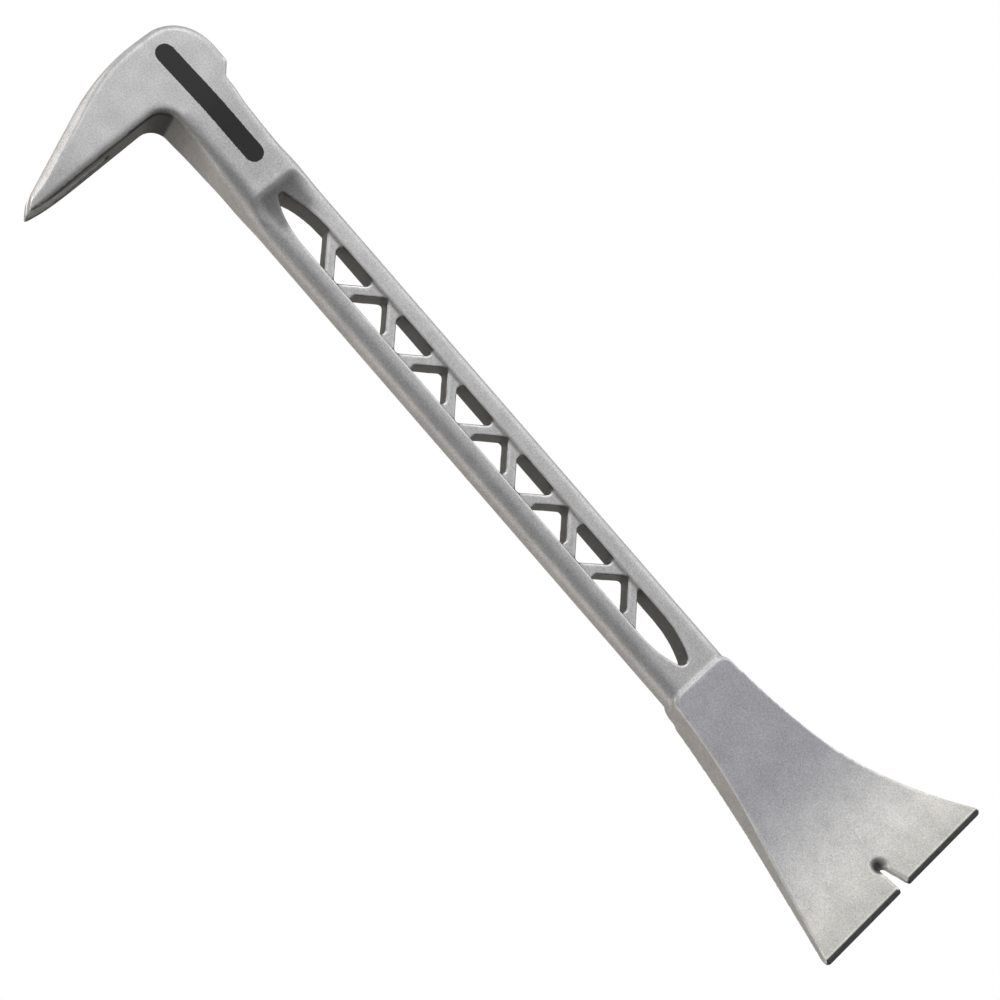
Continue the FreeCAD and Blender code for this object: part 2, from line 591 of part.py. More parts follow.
def main():
    """Move every region onto the bench and write it to its own STEP file."""
    os.makedirs("parts", exist_ok=True)
    table = regions()
    whole = Part.makeCompound(list(table.values()))
    box = whole.optimalBoundingBox()
    to_bench = Vector(-box.Center.x, -box.Center.y, -box.ZMin)
    print("footprint centre", -to_bench.x, -to_bench.y, "lowest point", -to_bench.z)
    print("length %.2f width %.2f height %.2f" % (box.XLength, box.YLength, box.ZLength))
    for name, shape in table.items():
        shape.translate(to_bench)
        print(name, "solids", len(shape.Solids), "valid", shape.isValid(), "volume %.1f" % shape.Volume)
        shape.exportStep("parts/%s.step" % name)


main()
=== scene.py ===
# %% [markdown]
# # A titanium claw and trim bar
#
# The bar is one casting in titanium, about 305 mm long. A wax pattern gives it its shape, so every edge of the
# raw casting is a little round and every inside corner is a little filled. After casting it is blasted with
# glass beads, which leaves an even, fine, satin grey. Only the blade is worked after that.
#
# This lesson first loads the frame, the exact solids of the bar, then makes one soft casting out of them,
# cuts that back into the bar's named regions, and last gives the metal its finish.

# %% Load the frame
import math

import bpy
import numpy as np
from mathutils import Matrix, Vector


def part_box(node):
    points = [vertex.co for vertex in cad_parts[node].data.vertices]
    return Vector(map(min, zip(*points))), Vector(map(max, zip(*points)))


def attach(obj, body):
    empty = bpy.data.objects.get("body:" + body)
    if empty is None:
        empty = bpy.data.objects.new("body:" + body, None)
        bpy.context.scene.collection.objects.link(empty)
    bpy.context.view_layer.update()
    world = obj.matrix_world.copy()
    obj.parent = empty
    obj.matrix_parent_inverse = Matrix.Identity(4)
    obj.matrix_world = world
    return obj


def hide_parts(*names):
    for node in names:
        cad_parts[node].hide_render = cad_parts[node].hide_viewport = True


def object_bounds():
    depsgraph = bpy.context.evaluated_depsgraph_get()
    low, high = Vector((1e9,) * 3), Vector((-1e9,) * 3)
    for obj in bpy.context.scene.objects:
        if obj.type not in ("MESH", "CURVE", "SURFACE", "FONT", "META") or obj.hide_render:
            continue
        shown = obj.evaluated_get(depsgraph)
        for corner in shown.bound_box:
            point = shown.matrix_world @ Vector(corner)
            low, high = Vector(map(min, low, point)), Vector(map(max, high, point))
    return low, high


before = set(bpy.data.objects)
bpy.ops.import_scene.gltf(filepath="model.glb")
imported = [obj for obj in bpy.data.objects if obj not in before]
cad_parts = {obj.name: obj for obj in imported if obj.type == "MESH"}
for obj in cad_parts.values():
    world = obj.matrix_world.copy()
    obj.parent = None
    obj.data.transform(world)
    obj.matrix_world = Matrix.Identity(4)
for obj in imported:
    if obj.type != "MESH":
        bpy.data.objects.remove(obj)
frame_low, frame_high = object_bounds()
MM = 0.001
print("frame", [round(v / MM, 1) for v in frame_low], [round(v / MM, 1) for v in frame_high])


# %% [markdown]
# ## The camera
#
# A long lens from well above and a little from the belly side keeps the bar's two long lines almost parallel.
# The camera is turned about its own view, so that the bar runs across the picture from corner to corner.
# Its three axes are worked out from a tilt and a turn, and make up the camera's rotation.

# %% Camera
VIEW_TILT = math.radians(24)
VIEW_TURN = math.radians(49.1)
VIEW_DISTANCE = 0.873
VIEW_CENTRE = Vector((0.0040, 0.00617, 0.0054))
LENS = 116.3
SENSOR = 36

back = Vector((0, -math.sin(VIEW_TILT), math.cos(VIEW_TILT)))
across = Vector((1, 0, 0))
above = back.cross(across)
right = across * math.cos(VIEW_TURN) + above * math.sin(VIEW_TURN)
up = above * math.cos(VIEW_TURN) - across * math.sin(VIEW_TURN)
bpy.ops.object.camera_add(location=VIEW_CENTRE + back * VIEW_DISTANCE)
camera = bpy.context.object
camera.rotation_mode = "QUATERNION"
camera.rotation_quaternion = back.to_track_quat("Z", "Y")
view_axes = camera.rotation_quaternion.to_matrix()
view_axes.col[0], view_axes.col[1], view_axes.col[2] = right, up, back
camera.rotation_quaternion = view_axes.to_quaternion()
camera.data.lens = LENS
camera.data.sensor_width = SENSOR
camera.data.clip_end = 20
bpy.context.scene.camera = camera
print("camera", [round(v, 3) for v in camera.location])


# %% [markdown]
# ## Helpers for picking and cutting
#
# Blender's operators act on what is selected, so `pick` deselects everything else first. `cut` splits a piece
# along a plane with the bisect tool: the part behind the plane stays in the piece, and the part in front of it
# becomes a new piece. Both cuts are filled, so each piece is a closed solid of its own.

# %% Helpers
def pick(*pieces):
    for other in list(bpy.context.selected_objects):
        other.select_set(False)
    for piece in pieces:
        piece.select_set(True)
    bpy.context.view_layer.objects.active = pieces[0]


def apply_modifier(piece, kind, **settings):
    pick(piece)
    modifier = piece.modifiers.new(kind.title(), kind)
    for name, value in settings.items():
        setattr(modifier, name, value)
    bpy.ops.object.modifier_apply(modifier=modifier.name)


def slice_off(piece, point, normal, keep_front):
    pick(piece)
    bpy.ops.object.mode_set(mode="EDIT")
    bpy.ops.mesh.select_all(action="SELECT")
    bpy.ops.mesh.bisect(plane_co=point, plane_no=normal, use_fill=True,
                        clear_inner=keep_front, clear_outer=not keep_front)
    bpy.ops.object.mode_set(mode="OBJECT")


def cut(piece, name, point, normal):
    pick(piece)
    bpy.ops.object.duplicate()
    front = bpy.context.object
    front.name = front.data.name = name
    slice_off(front, point, normal, True)
    slice_off(piece, point, normal, False)
    print("cut", name, len(front.data.polygons))
    return front


def low(name):
    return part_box(name)[0]


def high(name):
    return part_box(name)[1]


# %% [markdown]
# ## One casting out of the solids
#
# The solids of the frame meet face to face with knife-sharp edges, as no casting does. A copy of all of them
# is joined, and the Remesh modifier lays one new skin around the whole, in cells of a third of a millimetre.
# The walls between the solids vanish, because they are inside. A few rounds of Smooth then draw that skin
# tight: the outer edges turn round by about half a millimetre and the inside corners fill up, on the bar and
# on each strut alike. A bevel on every solid would also round the edges that two regions share, and leave a
# groove across the bar at each of them.

# %% Join and remesh
CELL = 0.353 * MM
SMOOTH_ROUNDS = 5
SMOOTH_SHARE = 0.5
SAME_POINT = 0.0005 * MM

solids = [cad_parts[name] for name in sorted(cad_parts)]
pick(*solids)
bpy.ops.object.duplicate()
copies = list(bpy.context.selected_objects)
pick(*copies)
bpy.ops.object.join()
casting = bpy.context.object
casting.parent = None
for tag in list(casting.keys()):
    del casting[tag]
casting.name = casting.data.name = "casting"
bpy.ops.object.mode_set(mode="EDIT")
bpy.ops.mesh.select_all(action="SELECT")
bpy.ops.mesh.remove_doubles(threshold=SAME_POINT)
bpy.ops.object.mode_set(mode="OBJECT")
casting.data.materials.clear()
apply_modifier(casting, "REMESH", mode="VOXEL", voxel_size=CELL, adaptivity=0)
apply_modifier(casting, "SMOOTH", factor=SMOOTH_SHARE, iterations=SMOOTH_ROUNDS)
print("casting", len(casting.data.polygons), "faces")


# %% [markdown]
# ## Where the casting is rubbed, with painted highlight and painted shade
#
# Blasting and wear polish the proud edges, which also get a painted highlight, and the inside corners get a painted
# shade. Both follow the bend of the skin. At each point, the middle of its neighbours lies behind the skin on a
# proud edge and in front of it in a corner. Measured along the point's normal, that is a number per point, blurred
# a little and kept in two attributes, `rim` and `nook`, that the material reads. It is measured before the casting
# is cut up, so that the new cut edges don't count.

# %% Helpers for numbers kept at the points
def neighbour_mean(values, ends, count):
    total = np.zeros((len(count),) + values.shape[1:])
    np.add.at(total, ends[:, 0], values[ends[:, 1]])
    np.add.at(total, ends[:, 1], values[ends[:, 0]])
    return total / count.reshape((-1,) + (1,) * (values.ndim - 1))


def blur(values, ends, count, rounds):
    for _ in range(rounds):
        values = 0.5 * values + 0.5 * neighbour_mean(values, ends, count)
    return values


def ramp(values, start, end):
    return np.clip((values - start) / (end - start), 0, 1)


def keep_attribute(piece, name, values):
    attribute = piece.data.attributes.new(name, "FLOAT", "POINT")
    attribute.data.foreach_set("value", values.astype(np.float32))


# %% Points of the casting
mesh = casting.data
points = np.empty(len(mesh.vertices) * 3)
mesh.vertices.foreach_get("co", points)
points = points.reshape(-1, 3)
normals = np.array([v.vector for v in mesh.vertex_normals])
ends = np.empty(len(mesh.edges) * 2, int)
mesh.edges.foreach_get("vertices", ends)
ends = ends.reshape(-1, 2)
count = np.bincount(ends.ravel(), minlength=len(points)).astype(float)
print("points", len(points))

# %% Rim and nook
BEND_BLUR = 3
RIM_BEND = (0.015, 0.090)
NOOK_BEND = (0.012, 0.092)

proud = ((points - neighbour_mean(points, ends, count)) * normals).sum(1) / CELL
bend = blur(proud, ends, count, BEND_BLUR)
keep_attribute(casting, "rim", ramp(bend, *RIM_BEND))
keep_attribute(casting, "nook", ramp(-bend, *NOOK_BEND))
print("bend", round(float(bend.min()), 3), "to", round(float(bend.max()), 3))


# %% [markdown]
# ## Where shade is painted on the casting
#
# The upright walls of the windows, the throat of the claw, the hollow under the neck and the scoop beside the
# long opening's tip get a painted shade, and so does a faint streak along the middle of the belly rail. Each of
# them is told by its place on the bar and by which way it faces, as a number from 0 to 1. The largest of them,
# the painted shade, is kept at each point as a third attribute.

# %% Walls of the windows and the throat
WALL_TILT = 0.6
THROAT_FACING = 0.3
THROAT_REACH = 6 * MM
WEB_MARGIN = 0.25 * MM
WINDOW_WALL_SHADE = 0.8

along, over = points[:, 0], points[:, 1]
web_middle = (low("back_rail").y + high("belly_rail").y) / 2
web_half = abs(low("back_rail").y - high("belly_rail").y) / 2
in_web = np.abs(over - web_middle) < web_half + WEB_MARGIN
in_web &= (along > low("head_bridge").x) & (along < high("blade_bridge").x)
in_throat = (along < low("neck").x) & (over < low("head_block").y + THROAT_REACH) & (normals[:, 0] > THROAT_FACING)
upright = np.abs(normals[:, 2]) < WALL_TILT
# Painted shade on the upright walls of the windows, at full strength in the claw's throat.
walls = upright * np.where(in_throat, 1.0, np.where(in_web, WINDOW_WALL_SHADE, 0.0))
print("walls", round(float(walls.mean()), 3))

# %% Under the neck, in the scoop and on the belly
NECK_CORNER = (low("neck").x - 2 * MM, low("head_block").y + 8 * MM)
NECK_FADE = (18.7 * MM, 1.7 * MM)
NECK_FACING = (0.2 / 1.5, 0.8)
UNDER_NECK_SHADE = 0.7
SCOOP_START = (0, 2 * MM)
SCOOP_END = (14 * MM, 10 * MM)
SCOOP_SIDE = (8 * MM, 5.5 * MM)
SCOOP_SHADE = 0.62
FLAT_TILT = 0.5
BELLY_WIDTH = 1.6 * MM
BELLY_SHADE = 0.32
SHADE_BLUR = 4

# Painted shade under the neck and in the scoop beside the long opening's tip.
from_corner = np.hypot(along - NECK_CORNER[0], over - NECK_CORNER[1])
under_neck = UNDER_NECK_SHADE * ramp(from_corner, *NECK_FADE) * ramp(-normals[:, 1], *NECK_FACING)
past_step = along - high("neck").x
scoop = ramp(past_step, *SCOOP_START) * ramp(past_step, *SCOOP_END) * ramp(np.abs(over - web_middle), *SCOOP_SIDE)
scoop *= SCOOP_SHADE * (np.abs(normals[:, 2]) > FLAT_TILT)
# Painted shade: a faint dark streak along the middle of the belly rail, where its round side turns away from the
# light.
belly_line = (low("belly_rail").y + high("belly_rail").y) / 2
belly = BELLY_SHADE * np.exp(-((over - belly_line) / BELLY_WIDTH) ** 2)
belly *= (along > low("neck").x) & (along < high("blade_bridge").x)
# The painted shade at each point: the largest of the masks, blurred.
painted_shade = blur(np.maximum.reduce([walls, under_neck, scoop, belly]), ends, count, SHADE_BLUR)
keep_attribute(casting, "painted_shade", painted_shade)
print("painted_shade", round(float(painted_shade.mean()), 3))


# %% [markdown]
# ## Cutting the casting into its regions
#
# Each region stands for one solid of the frame, so the cuts go where those solids meet, read from their boxes.
# Three cuts are trimmed. The struts are cut a millimetre inside the web, below the round points of its
# windows. There they no longer touch each other, so they fall apart into loose parts, and so do the tines of
# the claw just past the root of their slot. The striking pad is cut a quarter of a millimetre above the back
# of the neck, because a cut that runs along a flat face leaves ragged flaps.
#
# A cut leaves thin slivers beside it, and slivers bend the shading. So a whole copy is kept, and the Data
# Transfer modifier gives each region the copy's own normals. Light then runs over a cut as if it weren't there.

# %% Keep a whole copy
pick(casting)
bpy.ops.object.duplicate()
whole = bpy.context.object
whole.name = whole.data.name = "whole_casting"
pick(whole)
bpy.ops.object.shade_smooth()
print("kept", whole.name)

# %% Cut the head
X, Y = Vector((1, 0, 0)), Vector((0, 1, 0))
PAD_TRIM = 0.25 * MM
TINE_TRIM = 1.2 * MM

head_block = cut(casting, "head_block_skin", X * low("neck").x, -X)
striking_pad = cut(head_block, "striking_pad_skin", Y * (low("striking_pad").y + PAD_TRIM), Y)
claw_arm = cut(head_block, "claw_arm_skin", Y * high("claw_arm").y, -Y)
claw_tines = cut(claw_arm, "claw_tines", Y * (low("claw_arm").y - TINE_TRIM), -Y)

# %% Cut the shank
STRUT_TRIM = 1.0 * MM

neck = cut(casting, "neck_skin", X * high("neck").x, -X)
head_bridge = cut(casting, "head_bridge_skin", X * low("back_rail").x, -X)
blade = cut(casting, "blade", X * high("back_rail").x, X)
back_rail = cut(casting, "back_rail_skin", Y * (low("back_rail").y - STRUT_TRIM), Y)
belly_rail = cut(casting, "belly_rail_skin", Y * (high("belly_rail").y + STRUT_TRIM), -Y)

# %% Cut the blade
blade_root = cut(blade, "blade_root_skin", X * high("blade_bridge").x, X)
blade_body = cut(blade_root, "blade_body_skin", X * low("blade_body").x, X)
blade_edge = cut(blade_body, "blade_edge_low", X * low("blade_edge_left").x, X)
edge_split = max(low("blade_edge_left").y, low("blade_edge_right").y)
blade_edge_high = cut(blade_edge, "blade_edge_high", Y * edge_split, Y)


# %% Let struts and tines fall apart
def fall_apart(piece):
    pick(piece)
    bpy.ops.object.mode_set(mode="EDIT")
    bpy.ops.mesh.select_all(action="SELECT")
    bpy.ops.mesh.separate(type="LOOSE")
    bpy.ops.object.mode_set(mode="OBJECT")
    return list(bpy.context.selected_objects)


def middle(piece, axis):
    corners = [corner[axis] for corner in piece.bound_box]
    return (min(corners) + max(corners)) / 2


struts = sorted(fall_apart(casting), key=lambda piece: middle(piece, 0))
tines = sorted(fall_apart(claw_tines), key=lambda piece: -middle(piece, 2))
print("struts", len(struts), "tines", len(tines))


# %% [markdown]
# ## Naming and closing the regions
#
# Each skin takes the name of the solid that it stands for. The two tines are told apart by their height and
# the two edges of the blade by their side, the higher one first.
#
# The bisect tool leaves a few flaps, thin faces that hang by one edge. `close` deletes every edge that has
# only one face, or none, and then fills any hole that this leaves.

# %% Name the skins
def higher_first(names, axis):
    return sorted(names, key=lambda name: -low(name)[axis])


skins = {"head_block": head_block, "striking_pad": striking_pad, "claw_arm": claw_arm, "neck": neck,
         "head_bridge": head_bridge, "back_rail": back_rail, "belly_rail": belly_rail,
         "blade_bridge": blade, "blade_root": blade_root, "blade_body": blade_body}
skins.update(zip(higher_first(("claw_tine_left", "claw_tine_right"), 2), tines))
skins.update(zip(higher_first(("blade_edge_left", "blade_edge_right"), 1), [blade_edge_high, blade_edge]))
skins.update({f"web_strut_{index + 1:02d}": strut for index, strut in enumerate(struts)})
print("regions", len(skins), "of", len(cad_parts))


# %% Close the skins and hand them to the frame
def close(piece):
    piece.data.validate()
    pick(piece)
    bpy.ops.object.mode_set(mode="EDIT")
    bpy.ops.mesh.select_mode(type="EDGE")
    bpy.ops.mesh.select_all(action="DESELECT")
    bpy.ops.mesh.select_non_manifold(extend=False, use_wire=True, use_boundary=True, use_multi_face=False,
                                     use_non_contiguous=False, use_verts=False)
    bpy.ops.mesh.delete(type="EDGE")
    bpy.ops.mesh.select_all(action="SELECT")
    bpy.ops.mesh.delete_loose(use_verts=True, use_edges=True, use_faces=False)
    bpy.ops.mesh.select_all(action="SELECT")
    bpy.ops.mesh.fill_holes(sides=0)
    bpy.ops.mesh.select_mode(type="VERT")
    bpy.ops.object.mode_set(mode="OBJECT")


for name, piece in skins.items():
    piece.name = piece.data.name = name + "_skin"
    close(piece)
    pick(piece)
    bpy.ops.object.shade_smooth()
    apply_modifier(piece, "DATA_TRANSFER", object=whole, use_loop_data=True, data_types_loops={"CUSTOM_NORMAL"},
                   loop_mapping="POLYINTERP_NEAREST")
    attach(piece, "root")
    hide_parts(name)
bpy.data.objects.remove(whole)
print("faces", sum(len(piece.data.polygons) for piece in skins.values()))


# %% [markdown]
# ## Groups for the finishes
#
# A shader node group is a small machine with named inputs and outputs. Five helpers keep the cells short.
# `add` makes a node and feeds its inputs with plain values or with other nodes' outputs, and `new_group` opens
# a group with its sockets. `mix_colour` mixes two colours, `spread` stretches one range of numbers to another,
# and `maths` does one sum.

# %% Node helpers
FLOAT, COLOUR = "NodeSocketFloat", "NodeSocketColor"


def feed(tree, node, key, value):
    if isinstance(value, bpy.types.NodeSocket):
        tree.links.new(value, node.inputs[key])
    else:
        node.inputs[key].default_value = value


def add(tree, kind, inputs=(), **settings):
    node = tree.nodes.new(kind)
    for name, value in settings.items():
        setattr(node, name, value)
    for key, value in dict(inputs).items():
        feed(tree, node, key, value)
    return node


def new_group(name, inputs, outputs):
    tree = bpy.data.node_groups.new(name, "ShaderNodeTree")
    for label, (kind, value) in inputs.items():
        socket = tree.interface.new_socket(label, in_out="INPUT", socket_type=kind)
        socket.default_value = value
    for label, kind in outputs.items():
        tree.interface.new_socket(label, in_out="OUTPUT", socket_type=kind)
    return tree, tree.nodes.new("NodeGroupInput"), tree.nodes.new("NodeGroupOutput")


def mix_colour(tree, share, first, second, blend="MIX"):
    node = add(tree, "ShaderNodeMix", data_type="RGBA", blend_type=blend)
    for index, value in ((0, share), (6, first), (7, second)):
        feed(tree, node, index, value)
    return node.outputs[2]


def spread(tree, value, low_in, high_in, low_out=0.0, high_out=1.0):
    return add(tree, "ShaderNodeMapRange", {0: value, 1: low_in, 2: high_in, 3: low_out, 4: high_out},
               clamp=True).outputs[0]


def maths(tree, operation, first, second=0.0):
    return add(tree, "ShaderNodeMath", {0: first, 1: second}, operation=operation).outputs[0]


# %% [markdown]
# ### Blasted grain
#
# Glass beads leave dimples of a few tenths of a millimetre, too small to see one by one. What shows is a fine
# sparkle in the grey and, over some millimetres, a faint cloudiness where the beads fell thicker. So the group
# mixes a fine noise and a coarse noise into a colour, a roughness and a height.

# %% Group: blasted grain
GRAIN_SIZE, CLOUD_SIZE = 0.42, 6.0
GRAIN_SHARE, CLOUD_SHARE = 0.75, 0.25
BLASTED_LIGHT, BLASTED_DARK = (0.74, 0.73, 0.73, 1), (0.45, 0.445, 0.45, 1)
ROUGH_THIN, ROUGH_THICK = 0.47, 0.445

grain, grain_in, grain_out = new_group(
    "Blasted grain",
    {"Light": (COLOUR, BLASTED_LIGHT), "Dark": (COLOUR, BLASTED_DARK),
     "Grain size": (FLOAT, GRAIN_SIZE), "Cloud size": (FLOAT, CLOUD_SIZE)},
    {"Color": COLOUR, "Roughness": FLOAT, "Height": FLOAT})
spot = add(grain, "ShaderNodeTexCoord").outputs["Object"]
grain_scale = maths(grain, "DIVIDE", 1 / MM, grain_in.outputs["Grain size"])
cloud_scale = maths(grain, "DIVIDE", 1 / MM, grain_in.outputs["Cloud size"])
fine = add(grain, "ShaderNodeTexNoise", {"Vector": spot, "Scale": grain_scale, "Detail": 2.0,
                                         "Roughness": 0.6}).outputs["Fac"]
cloud = add(grain, "ShaderNodeTexNoise", {"Vector": spot, "Scale": cloud_scale, "Detail": 3.0,
                                          "Roughness": 0.55}).outputs["Fac"]
both = maths(grain, "ADD", maths(grain, "MULTIPLY", fine, GRAIN_SHARE), maths(grain, "MULTIPLY", cloud, CLOUD_SHARE))
shade = spread(grain, both, 0.32, 0.68)
grain.links.new(mix_colour(grain, shade, grain_in.outputs["Dark"], grain_in.outputs["Light"]),
                grain_out.inputs["Color"])
grain.links.new(spread(grain, cloud, 0.3, 0.7, ROUGH_THIN, ROUGH_THICK), grain_out.inputs["Roughness"])
grain.links.new(fine, grain_out.inputs["Height"])
print("group", grain.name)


# %% [markdown]
# ### Rubbed rims with a painted highlight, and painted shade in nooks and on the marked faces
#
# This group takes a finish and the three attributes of the casting. A little noise breaks up the first two, so
# that no rim is polished evenly. Rims turn smoother and lighter, partly polished metal and partly a painted
# highlight; nooks turn rougher and get a painted shade, and the faces of the third attribute get a near-black painted
# shade.

# %% Group: wear, highlight and painted shade
# Rim colour: a near-white painted highlight over polished wear. Nook colour and the near-black colour: painted shade.
RIM_WEAR_AND_HIGHLIGHT = (0.99, 0.985, 0.975, 1)
NOOK_PAINTED_SHADE = (0.20, 0.19, 0.185, 1)
PAINTED_SHADE_COLOUR = (0.040, 0.038, 0.036, 1)
RUB_AND_HIGHLIGHT, NOOK_SHADE_AND_DULL, PAINTED_SHADE_STRENGTH = 0.9, 0.6, 1.0
PATCH_SCALE = 420.0
RUBBED_SMOOTHER, DULL_ROUGHER = 0.18, 0.15

wear_and_shade, wear_and_shade_in, wear_and_shade_out = new_group(
    "Wear, highlight and painted shade",
    {"Color": (COLOUR, BLASTED_DARK), "Roughness": (FLOAT, ROUGH_THIN), "Rim wear and highlight": (COLOUR, RIM_WEAR_AND_HIGHLIGHT),
     "Nook colour": (COLOUR, NOOK_PAINTED_SHADE), "Rub and highlight": (FLOAT, RUB_AND_HIGHLIGHT), "Nook shade and dullness": (FLOAT, NOOK_SHADE_AND_DULL), "Painted shade": (FLOAT, PAINTED_SHADE_STRENGTH)},
    {"Color": COLOUR, "Roughness": FLOAT})
spot = add(wear_and_shade, "ShaderNodeTexCoord").outputs["Object"]
patch = add(wear_and_shade, "ShaderNodeTexNoise", {"Vector": spot, "Scale": PATCH_SCALE, "Detail": 3.0}).outputs["Fac"]
broken = spread(wear_and_shade, patch, 0.35, 0.6, 0.55, 1.0)
rim_here, nook_here, painted_shade_here = (
    add(wear_and_shade, "ShaderNodeAttribute", attribute_name=name).outputs["Fac"] for name in ("rim", "nook", "painted_shade"))
rubbed_and_highlit = maths(wear_and_shade, "MULTIPLY", maths(wear_and_shade, "MULTIPLY", rim_here, broken), wear_and_shade_in.outputs["Rub and highlight"])
nook_shade_and_dull = maths(wear_and_shade, "MULTIPLY", maths(wear_and_shade, "MULTIPLY", nook_here, broken), wear_and_shade_in.outputs["Nook shade and dullness"])
painted_shade_share = maths(wear_and_shade, "MULTIPLY", painted_shade_here, wear_and_shade_in.outputs["Painted shade"])
# Rims: lighter and smoother, partly polished by wear and partly a painted highlight.
worn_and_highlit = mix_colour(wear_and_shade, rubbed_and_highlit, wear_and_shade_in.outputs["Color"], wear_and_shade_in.outputs["Rim wear and highlight"])
# Nooks: rougher, and a painted shade in the inside corners.
nook_shaded = mix_colour(wear_and_shade, nook_shade_and_dull, worn_and_highlit, wear_and_shade_in.outputs["Nook colour"])
# The third attribute lays a near-black painted shade.
wear_and_shade.links.new(mix_colour(wear_and_shade, painted_shade_share, nook_shaded, PAINTED_SHADE_COLOUR), wear_and_shade_out.inputs["Color"])
smoother = maths(wear_and_shade, "SUBTRACT", wear_and_shade_in.outputs["Roughness"],
                 maths(wear_and_shade, "MULTIPLY", rubbed_and_highlit, RUBBED_SMOOTHER))
wear_and_shade.links.new(maths(wear_and_shade, "ADD", smoother, maths(wear_and_shade, "MULTIPLY", nook_shade_and_dull, DULL_ROUGHER)),
                   wear_and_shade_out.inputs["Roughness"])
print("group", wear_and_shade.name)


# %% [markdown]
# ### The titanium itself
#
# `titanium` opens a material with the two groups wired up and leaves its Principled shader at the end, so that
# a piece with a mark or a ground edge can put one more layer in between.

# %% Titanium
METALLIC = 0.85
BUMP_STRENGTH = 0.18
BUMP_DEPTH = 0.05 * MM


def titanium(name):
    material = bpy.data.materials.new(name)
    material.use_nodes = True
    tree = material.node_tree
    tree.nodes.clear()
    blasted = add(tree, "ShaderNodeGroup", node_tree=grain)
    worn_and_shaded = add(tree, "ShaderNodeGroup", node_tree=wear_and_shade)
    tree.links.new(blasted.outputs["Color"], worn_and_shaded.inputs["Color"])
    tree.links.new(blasted.outputs["Roughness"], worn_and_shaded.inputs["Roughness"])
    relief = add(tree, "ShaderNodeBump", {"Height": blasted.outputs["Height"], "Strength": BUMP_STRENGTH,
                                          "Distance": BUMP_DEPTH})
    metal = add(tree, "ShaderNodeBsdfPrincipled", {"Metallic": METALLIC, "Base Color": worn_and_shaded.outputs["Color"],
                                                   "Roughness": worn_and_shaded.outputs["Roughness"],
                                                   "Normal": relief.outputs["Normal"]})
    output = add(tree, "ShaderNodeOutputMaterial")
    tree.links.new(metal.outputs["BSDF"], output.inputs["Surface"])
    print("material", name)
    return material, tree, worn_and_shaded, metal


plain_titanium = titanium("Blasted titanium")[0]


# %% [markdown]
# ### The mark on the head
#
# Makers print their mark along the head and the neck in black enamel. Here it is a plain black bar with round
# ends. Its mask is worked out from the place on the bar: the distance from a straight line, less than the
# bar's half height. Only the upper face carries it, and a fine noise nibbles at its outline as at any print.

# %% Titanium with the mark
MARK_CENTRE = Vector((-0.1275, 0.01335, 0))
MARK_HALF_LENGTH = 17.5 * MM
MARK_HALF_HEIGHT = 2.9 * MM
MARK_SLOPE = math.radians(2.2)
MARK_BLUR = 0.06 * MM
MARK_NIBBLE = 0.08 * MM
MARK_SIDE = (11.0 * MM, 11.4 * MM)
ENAMEL = (0.005, 0.005, 0.005, 1)


def vector(tree, operation, first, second=(0, 0, 0), result="Vector"):
    return add(tree, "ShaderNodeVectorMath", {0: first, 1: second}, operation=operation).outputs[result]


marked_titanium, tree, worn_and_shaded, metal = titanium("Blasted titanium with a mark")
spot = add(tree, "ShaderNodeTexCoord").outputs["Object"]
laid = add(tree, "ShaderNodeMapping", {"Vector": spot, "Location": MARK_CENTRE, "Rotation": (0, 0, MARK_SLOPE)},
           vector_type="TEXTURE").outputs["Vector"]
folded = vector(tree, "ABSOLUTE", vector(tree, "MULTIPLY", laid, (1, 1, 0)))
past_end = vector(tree, "MAXIMUM", vector(tree, "SUBTRACT", folded, (MARK_HALF_LENGTH, 0, 0)))
from_line = vector(tree, "LENGTH", past_end, result="Value")
nibble = add(tree, "ShaderNodeTexNoise", {"Vector": spot, "Scale": 2600.0, "Detail": 2.0}).outputs["Fac"]
ragged = maths(tree, "ADD", from_line, spread(tree, nibble, 0.3, 0.7, -MARK_NIBBLE, MARK_NIBBLE))
in_bar = spread(tree, ragged, MARK_HALF_HEIGHT + MARK_BLUR, MARK_HALF_HEIGHT - MARK_BLUR)
on_top = spread(tree, add(tree, "ShaderNodeSeparateXYZ", {0: spot}).outputs["Z"], *MARK_SIDE)
mark = maths(tree, "MULTIPLY", in_bar, on_top)
tree.links.new(mix_colour(tree, mark, worn_and_shaded.outputs["Color"], ENAMEL), metal.inputs["Base Color"])
tree.links.new(spread(tree, mark, 0, 1, METALLIC, 0.0), metal.inputs["Metallic"])
print("mark", round(2 * (MARK_HALF_LENGTH + MARK_HALF_HEIGHT) / MM, 1), "mm long")


# %% [markdown]
# ### The blade
#
# The blade's face is drawn over a belt after blasting. Its colour carries painted light and shade: deeper grey and a
# little blue where it is flat, lighter and warmer as it curls up into the light. Its end face is ground across, which
# leaves it dark grey with scratches along it, and the countersunk dimple at the root of the nail slot gets a painted
# shade, a dark disc. Each mask comes from the place on the blade or from the way the skin faces.

# %% The blade's face
FACE_ROOT_PAINTED_SHADE = (0.53, 0.53, 0.555, 1)
FACE_TIP_PAINTED_LIGHT = (0.62, 0.61, 0.575, 1)
FACE_LIFT = (1.62, 1.62, 1.62, 1)
FACE_FACING = (0.5, 0.8)
FACE_STEP = (1.4 * MM, 2.2 * MM)
CURL_START, CURL_END = low("blade_body").x + 2 * MM, frame_high.x - 8 * MM

blade_titanium, tree, worn_and_shaded, metal = titanium("Blade titanium")
spot = add(tree, "ShaderNodeTexCoord").outputs["Object"]
blade_x = add(tree, "ShaderNodeSeparateXYZ", {0: spot}).outputs["X"]
facing = add(tree, "ShaderNodeSeparateXYZ", {0: add(tree, "ShaderNodeNewGeometry").outputs["Normal"]})
on_face = maths(tree, "MULTIPLY", spread(tree, facing.outputs["Z"], *FACE_FACING),
                spread(tree, blade_x, *(low("blade_root").x + step for step in FACE_STEP)))
